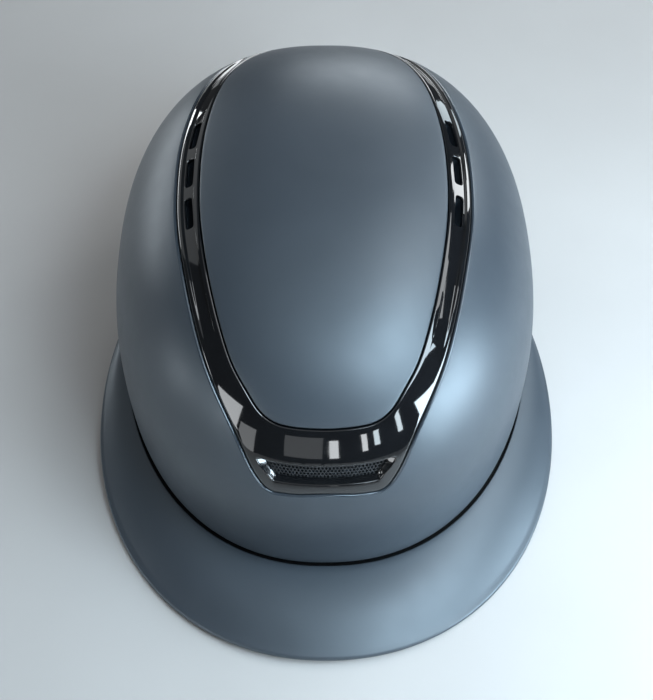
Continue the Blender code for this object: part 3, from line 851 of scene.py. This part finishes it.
LIP_FIRST = 5  # and its first on the painted lip
UNDERSIDE_FIRST = LIP_FIRST + LIP_STEPS + TOP_STEPS + ROLL_STEPS
TOP_PAINT, MATT_UNDERSIDE, GROOVE_PAINTED_SHADE = 0, 1, 2  # places of the peak's materials


def edge_lift(turn):
    """Height of the peak's lower edge over the surface, turn being measured from straight ahead."""
    turn = abs(turn)
    if turn < PEAK_FOOT_TURN:
        return PEAK_FRONT_LIFT * (0.5 + 0.5 * math.cos(math.pi * turn / PEAK_FOOT_TURN))
    return PEAK_END_LIFT * ((turn - PEAK_FOOT_TURN) / (PEAK_END_TURN - PEAK_FOOT_TURN)) ** 1.5


def peak_section(share):
    """A closed section of the peak, share -1 at its left end, 0 in front and 1 at its right end."""
    turn = share * PEAK_END_TURN
    joint = rim_point(share * JOINT_END_TURN - math.pi / 2, 0, 0)
    inwards = Vector((-joint.x, -joint.y, 0)).normalized()
    seat = joint.z - SEAT_GAP
    x = math.sin(turn)
    y = -math.cos(turn)
    across = (abs(x) / PEAK_HALF_WIDTH) ** PEAK_SQUARENESS
    along = (abs(y) / PEAK_REACH) ** PEAK_SQUARENESS
    size = (across + along) ** (1 / PEAK_SQUARENESS)
    lip = Vector((x / size, y / size - PEAK_AHEAD, 0))
    away = Vector((lip.x - joint.x, lip.y - joint.y, 0))
    away_length = away.length
    away = away.normalized()
    half = PEAK_THICKNESS / 2
    edge = lip - away * half
    edge_top = edge_lift(turn) + PEAK_THICKNESS
    start = seat - PEAK_STEP
    groove = mix(GROOVE_FRONT, GROOVE_SIDE, eased(abs(share), *GROOVE_WIDENS))

    def brim(out, down):
        """A point of the brim at a share of the way out, so far down from its top."""
        swell = PEAK_BULGE * math.sin(math.pi * out) * min(away_length / PEAK_FLANGE, 1)
        z = mix(start, edge_top, out) + swell - down
        return Vector((mix(joint.x, edge.x, out), mix(joint.y, edge.y, out), z))

    def flange(inset, down):
        """A point inwards of the joint, so far down from the flange's top."""
        return Vector((joint.x, joint.y, seat - down)) + inwards * inset

    section = [flange(PEAK_FLANGE, 0), flange(2 * RIM_ROUND, 0), flange(RIM_ROUND, JOINT_GROOVE_DEPTH)]
    section += [flange(-groove * 0.6, JOINT_GROOVE_DEPTH), flange(-groove * 0.9, JOINT_GROOVE_DEPTH * 0.7)]
    lip_start = min(groove / away_length, 0.3)
    for step in range(LIP_STEPS + 1):
        bend = math.pi / 2 * step / LIP_STEPS
        out = lip_start + LIP_ROUND / away_length * (1 - math.cos(bend))
        section.append(brim(out, LIP_ROUND * (1 - math.sin(bend))))
    lip_end = out
    section += [brim(mix(lip_end, 1, step / TOP_STEPS), 0) for step in range(1, TOP_STEPS + 1)]
    middle = Vector((edge.x, edge.y, edge_top - half))
    for step in range(1, ROLL_STEPS):
        tilt = math.pi / 2 - math.pi * step / ROLL_STEPS
        section.append(middle + away * half * math.cos(tilt) + Vector((0, 0, half * math.sin(tilt))))
    section += [brim(out, PEAK_THICKNESS) for out in UNDERSIDE_SHARES]
    section.append(flange(PEAK_FLANGE, PEAK_STEP + PEAK_THICKNESS))
    return section


peak_mesh = drawn_over([(peak_section(2 * span / PEAK_SPANS - 1), 0) for span in range(PEAK_SPANS + 1)])
number = peak_mesh.verts.layers.int["number"]
painted = range(LIP_FIRST, UNDERSIDE_FIRST)
grooved = range(GROOVE_FIRST, LIP_FIRST + 1)
for face in peak_mesh.faces:
    places = [corner[number] for corner in face.verts]
    if all(place in painted for place in places):
        face.material_index = TOP_PAINT
    elif all(place in grooved for place in places):
        face.material_index = GROOVE_PAINTED_SHADE
    else:
        face.material_index = MATT_UNDERSIDE
capped(peak_mesh)
peak = put_on("brim", closed(peak_mesh), sharp=50)
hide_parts("peak")
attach(peak, "root")


def matt_black(name, tone=1.0, gloss=0.5):
    """Matt black moulded plastic with a fine spark-eroded grain."""
    material, tree, shader, where = new_material(name)
    clouds = noise(tree, where, 240, 3, 0.6)
    low = (0.010 * tone, 0.011 * tone, 0.013 * tone, 1)
    high = (0.016 * tone, 0.017 * tone, 0.019 * tone, 1)
    tree.links.new(ramp(tree, clouds, [(0.3, low), (0.7, high)]), shader.inputs["Base Color"])
    shader.inputs["Roughness"].default_value = 0.62
    shader.inputs["Specular IOR Level"].default_value = gloss
    grain = noise(tree, where, 2200, 2, 0.6)
    tree.links.new(bump(tree, grain, 0.00008, 0.7), shader.inputs["Normal"])
    return material


peak.data.materials.append(satin_paint("peak_paint"))
peak.data.materials.append(matt_black("peak_underside"))
# The groove's black is darker and duller than the underside's: painted shade for the gap where the peak meets
# the shell.
peak.data.materials.append(matt_black("peak_groove_painted_shade", tone=0.3, gloss=0.1))


# Floor, light and camera. A pale round floor before a pale backdrop, and softboxes as the photograph's light
# falls: one overhead, strong cool ones at the right, low ones at the left and behind, and small panes that
# show in the frame's gloss. The camera looks down on the front.

FLOOR_RADIUS = 1.1
FLOOR_DROP = 0.0002  # how far it lies under the helmet

floor_mesh = bmesh.new()
bmesh.ops.create_circle(floor_mesh, cap_ends=True, segments=96, radius=FLOOR_RADIUS)
bmesh.ops.translate(floor_mesh, vec=(0, 0, -FLOOR_DROP), verts=floor_mesh.verts)
floor_data = bpy.data.meshes.new("floor")
floor_mesh.to_mesh(floor_data)
floor_mesh.free()
floor = bpy.data.objects.new("floor", floor_data)
bpy.context.scene.collection.objects.link(floor)
floor_material, tree, shader, where = new_material("floor_paper")
paper = noise(tree, where, 6, 3, 0.5)
floor_low, floor_high = (0.48, 0.47, 0.46, 1), (0.52, 0.51, 0.50, 1)
tree.links.new(ramp(tree, paper, [(0.3, floor_low), (0.7, floor_high)]), shader.inputs["Base Color"])
shader.inputs["Roughness"].default_value = 0.9
floor.data.materials.append(floor_material)

world = bpy.data.worlds.new("studio")
world.use_nodes = True
tree = world.node_tree
room = tree.nodes["Background"]
room.inputs["Color"].default_value = (0.90, 0.95, 1.0, 1)
seen = tree.nodes.new("ShaderNodeMapRange")
seen.inputs["To Min"].default_value = 0.05  # what lights the helmet
seen.inputs["To Max"].default_value = 0.62  # the pale backdrop past the floor's edge
rays = tree.nodes.new("ShaderNodeLightPath")
tree.links.new(rays.outputs["Is Camera Ray"], seen.inputs["Value"])
tree.links.new(seen.outputs["Result"], room.inputs["Strength"])
bpy.context.scene.world = world


def softbox(name, place, aim, width, height, power, colour):
    """A lamp behind a rectangular screen, turned to its aim and out of the camera's sight."""
    data = bpy.data.lights.new(name, "AREA")
    data.shape = "RECTANGLE"
    data.size = width
    data.size_y = height
    data.energy = power
    data.color = colour
    light = bpy.data.objects.new(name, data)
    light.rotation_mode = "QUATERNION"
    light.rotation_quaternion = (place - aim).to_track_quat("Z", "Y")
    light.location = place
    light.visible_camera = False
    bpy.context.scene.collection.objects.link(light)


def towards(azimuth, elevation, distance):
    """A place in a direction from the helmet: azimuth 0 is in front of it and 90 to the right."""
    a, e = math.radians(azimuth), math.radians(elevation)
    direction = Vector((math.sin(a) * math.cos(e), -math.cos(a) * math.cos(e), math.sin(e)))
    return direction * distance + LIGHT_AIM


LIGHT_AIM = Vector((0, 0, 0.09))
COOL, CLEAR, PALE = (0.72, 0.88, 1.0), (0.80, 0.93, 1.0), (0.93, 0.97, 1.0)
SOFTBOXES = [
    # name, azimuth, elevation, distance, width, height, power, colour
    ("overhead", 0, 88, 2.6, 3.0, 3.0, 11.0, PALE),
    ("right_front_low", 62, 8, 0.62, 0.40, 0.28, 5.6, COOL),
    ("right_front_high", 49, 52, 0.62, 0.40, 0.36, 4.3, COOL),
    ("right_high", 108, 55, 0.62, 0.36, 0.36, 1.3, PALE),
    ("back_left_low", -132, 2, 1.4, 0.9, 0.22, 3.9, PALE),
    ("back_left_wall", -136, 24, 1.4, 1.1, 0.7, 0.85, PALE),
    ("back", 170, 16, 1.4, 0.6, 0.34, 4.2, PALE),
    ("left_low", -78, 3, 1.4, 0.24, 0.24, 1.6, PALE),
    ("front_left_pane", -50, 12, 1.3, 0.36, 0.42, 2.1, PALE),
    ("front_left_curtain", -36, 3, 1.3, 0.20, 0.38, 0.36, PALE),
    ("front_wall", -9, 7, 1.3, 0.36, 0.36, 0.24, PALE),
    ("front_pane", 2.5, 6, 1.3, 0.07, 0.30, 0.44, PALE),
    ("front_right_pane_1", 15.5, 9, 1.3, 0.06, 0.30, 0.40, PALE),
    ("front_right_pane_2", 21.5, 11, 1.3, 0.06, 0.28, 0.44, CLEAR),
    ("right_pane", 34, 16, 1.3, 0.06, 0.36, 0.62, CLEAR),
    ("right_back_pane", 131, 19, 1.2, 0.24, 0.34, 1.6, PALE),
    ("right_back_curtain", 147, 9, 1.2, 0.24, 0.26, 0.55, CLEAR),
]
for name, azimuth, elevation, distance, width, height, power, colour in SOFTBOXES:
    softbox(name, towards(azimuth, elevation, distance), LIGHT_AIM, width, height, power, colour)

CAMERA_PLACE = Vector((0.0006, -0.3784, 0.5734))
CAMERA_AIM = Vector((0.0006, -0.0282, 0.0732))
CAMERA_ROLL = math.radians(-0.524)
SENSOR_WIDTH = 36  # millimetres, as is the lens
LENS = 67.37
camera_data = bpy.data.cameras.new("camera")
camera_data.sensor_fit = "HORIZONTAL"
camera_data.sensor_width = SENSOR_WIDTH
camera_data.lens = LENS
camera_data.clip_start = 0.01
camera_data.clip_end = 50
camera = bpy.data.objects.new("camera", camera_data)
back = (CAMERA_PLACE - CAMERA_AIM).normalized()
across = Vector((1, 0, 0))
upright = back.cross(across)
right = across * math.cos(CAMERA_ROLL) + upright * math.sin(CAMERA_ROLL)
up = upright * math.cos(CAMERA_ROLL) - across * math.sin(CAMERA_ROLL)
axes = Matrix((right, up, back)).transposed().to_4x4()
camera.matrix_world = Matrix.Translation(CAMERA_PLACE) @ axes
bpy.context.scene.collection.objects.link(camera)
bpy.context.scene.camera = camera
bpy.context.scene.view_settings.view_transform = "Standard"
